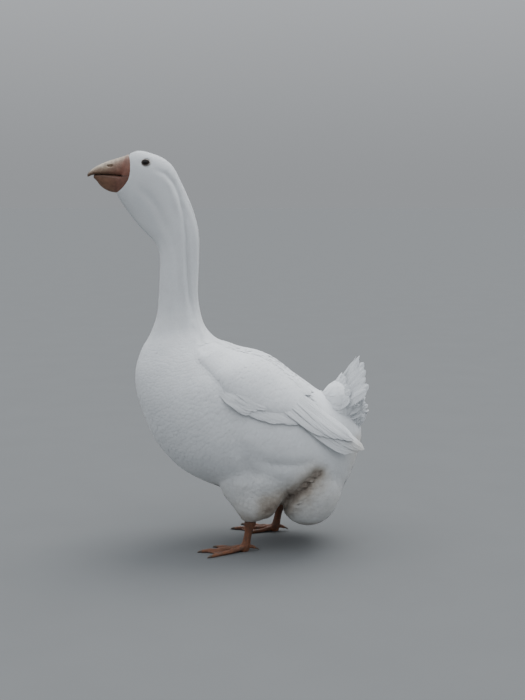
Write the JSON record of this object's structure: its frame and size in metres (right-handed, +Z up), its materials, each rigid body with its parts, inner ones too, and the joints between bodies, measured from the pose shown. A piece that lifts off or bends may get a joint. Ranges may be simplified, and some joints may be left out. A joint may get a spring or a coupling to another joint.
{
  "type": "kholmogory goose",
  "caption": "Large white domestic goose standing with its neck stretched up, bill level, wings folded and tail raised, as a still life-size model.",
  "frame": {"origin": "centre of the bounding box on the floor, under the body", "axes": "-X forward, the way the bill points; +Y the goose's right side; +Z up"},
  "size_m": [0.5384, 0.2692, 0.7724],
  "materials": {
    "plumage": "matte white feathers, dusty grey-brown low on the belly",
    "bill": "satin horn, brownish orange, greyer along the top",
    "eye": "wet dark gloss",
    "leg": "scaly orange-red skin, muddy"
  },
  "bodies": {
    "root": {"head": "plumage", "neck_upper": "plumage", "neck_lower": "plumage", "torso": "plumage", "tail": "plumage", "wing_l": "plumage", "wing_r": "plumage", "thigh_l": "plumage", "thigh_r": "plumage", "bill_upper": "bill", "bill_lower": "bill", "eye_l": "eye", "eye_r": "eye", "shank_l": "leg", "shank_r": "leg", "foot_l": "leg", "foot_r": "leg"}
  },
  "joints": []
}
